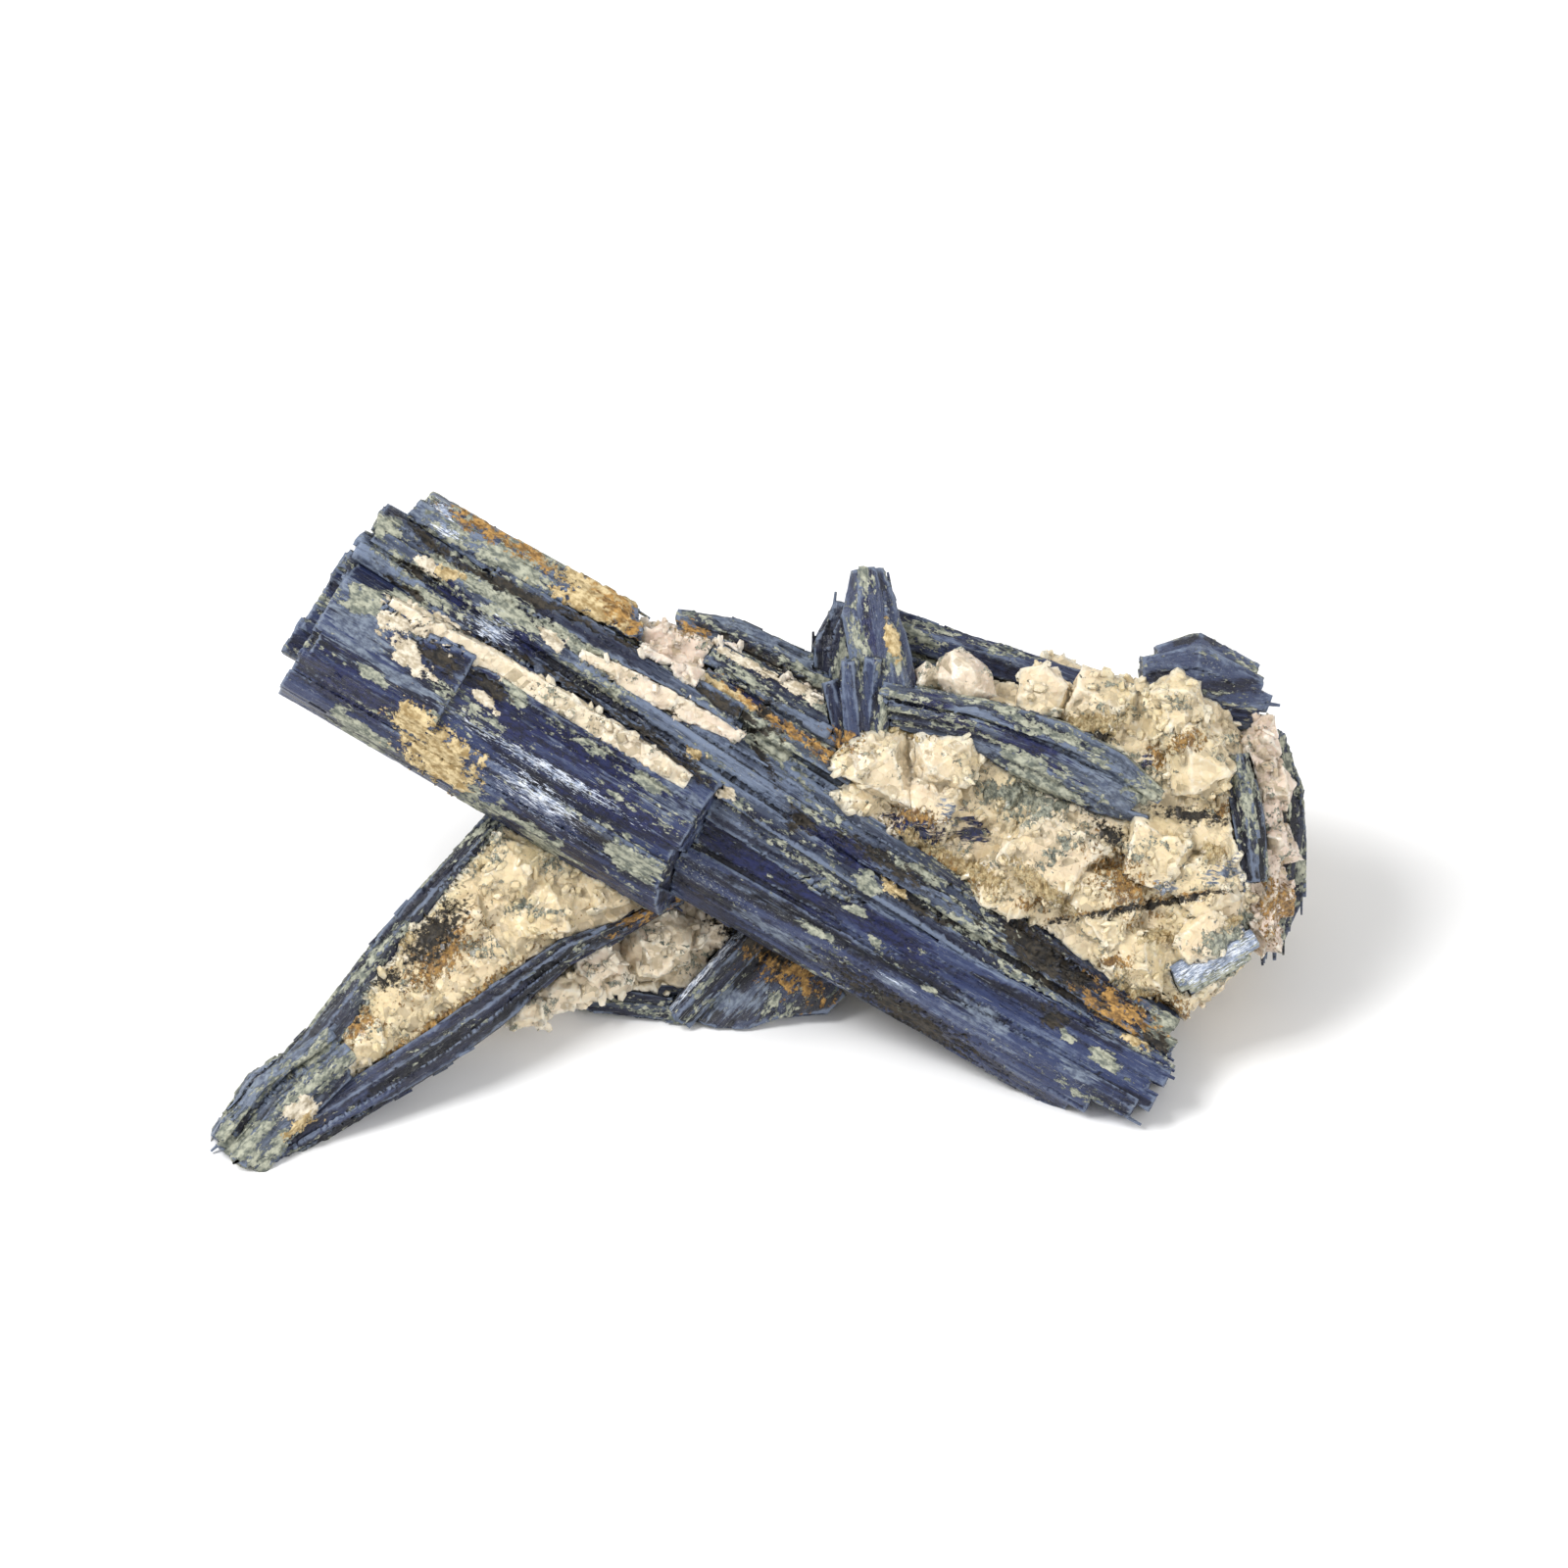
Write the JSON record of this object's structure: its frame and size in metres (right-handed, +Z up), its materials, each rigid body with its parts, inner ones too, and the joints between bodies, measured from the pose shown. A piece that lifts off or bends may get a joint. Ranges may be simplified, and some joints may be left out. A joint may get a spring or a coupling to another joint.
{
  "type": "kyanite specimen",
  "caption": "Hand specimen of blue kyanite blades in pale quartz: a thick bundle of blades crossing a slanting arm, with a mass of quartz behind it.",
  "frame": {"origin": "centre of the bounding box's bottom face, on the surface the specimen rests on", "axes": "+X along the specimen's longest extent, +Z up, and the face in the picture leans back towards +Y"},
  "size_m": [0.1302, 0.0682, 0.0579],
  "materials": {
    "quartz_vein": "pale granular quartz",
    "quartz_vein_upper": "pinkish granular quartz",
    "upright_blade": "pale grey-blue, pearly, striated along the blade",
    "curved_blade": "pale grey-blue, pearly, striated along the blade",
    "pale_plate": "pale grey-blue, pearly, striated along the blade",
    "quartz_pebble": "pale granular quartz",
    "front_blade": "satin blue, striated along the blade",
    "lower_blade": "satin blue, striated along the blade",
    "long_blade": "satin blue, striated along the blade",
    "top_blade": "pale grey-blue, pearly, striated along the blade",
    "dark_stub": "dull dark blue, striated along the blade",
    "ridge_blade_near": "pale grey-blue, pearly, striated along the blade",
    "ridge_blade_middle": "pale grey-blue, pearly, striated along the blade",
    "ridge_blade_far": "dull dark blue, striated along the blade",
    "rear_blade": "dull dark blue, striated along the blade",
    "corner_crystal": "satin blue, striated along the blade",
    "arm_upper_blade": "pale grey-blue, pearly, striated along the blade",
    "arm_lower_blade": "dull dark blue, striated along the blade",
    "side_blade_outer": "dull dark blue, striated along the blade",
    "side_blade_inner": "dull dark blue, striated along the blade",
    "foot_blade": "satin blue, striated along the blade",
    "foot_plate": "pale grey-blue, pearly, striated along the blade",
    "back_blade": "satin blue, striated along the blade",
    "arm_tip": "pale grey-blue, pearly, striated along the blade",
    "quartz_side": "pinkish granular quartz",
    "quartz_ridge": "pinkish granular quartz",
    "quartz_arm": "pale granular quartz",
    "quartz_foot": "pale granular quartz",
    "quartz_block": "pale granular quartz"
  },
  "bodies": {
    "root": {"quartz_vein": "quartz_vein", "quartz_vein_upper": "quartz_vein_upper", "upright_blade": "upright_blade", "curved_blade": "curved_blade", "pale_plate": "pale_plate", "quartz_pebble": "quartz_pebble", "front_blade": "front_blade", "lower_blade": "lower_blade", "long_blade": "long_blade", "top_blade": "top_blade", "dark_stub": "dark_stub", "ridge_blade_near": "ridge_blade_near", "ridge_blade_middle": "ridge_blade_middle", "ridge_blade_far": "ridge_blade_far", "rear_blade": "rear_blade", "corner_crystal": "corner_crystal", "arm_upper_blade": "arm_upper_blade", "arm_lower_blade": "arm_lower_blade", "side_blade_outer": "side_blade_outer", "side_blade_inner": "side_blade_inner", "foot_blade": "foot_blade", "foot_plate": "foot_plate", "back_blade": "back_blade", "arm_tip": "arm_tip", "quartz_side": "quartz_side", "quartz_ridge": "quartz_ridge", "quartz_arm": "quartz_arm", "quartz_foot": "quartz_foot", "quartz_block": "quartz_block"}
  },
  "joints": []
}
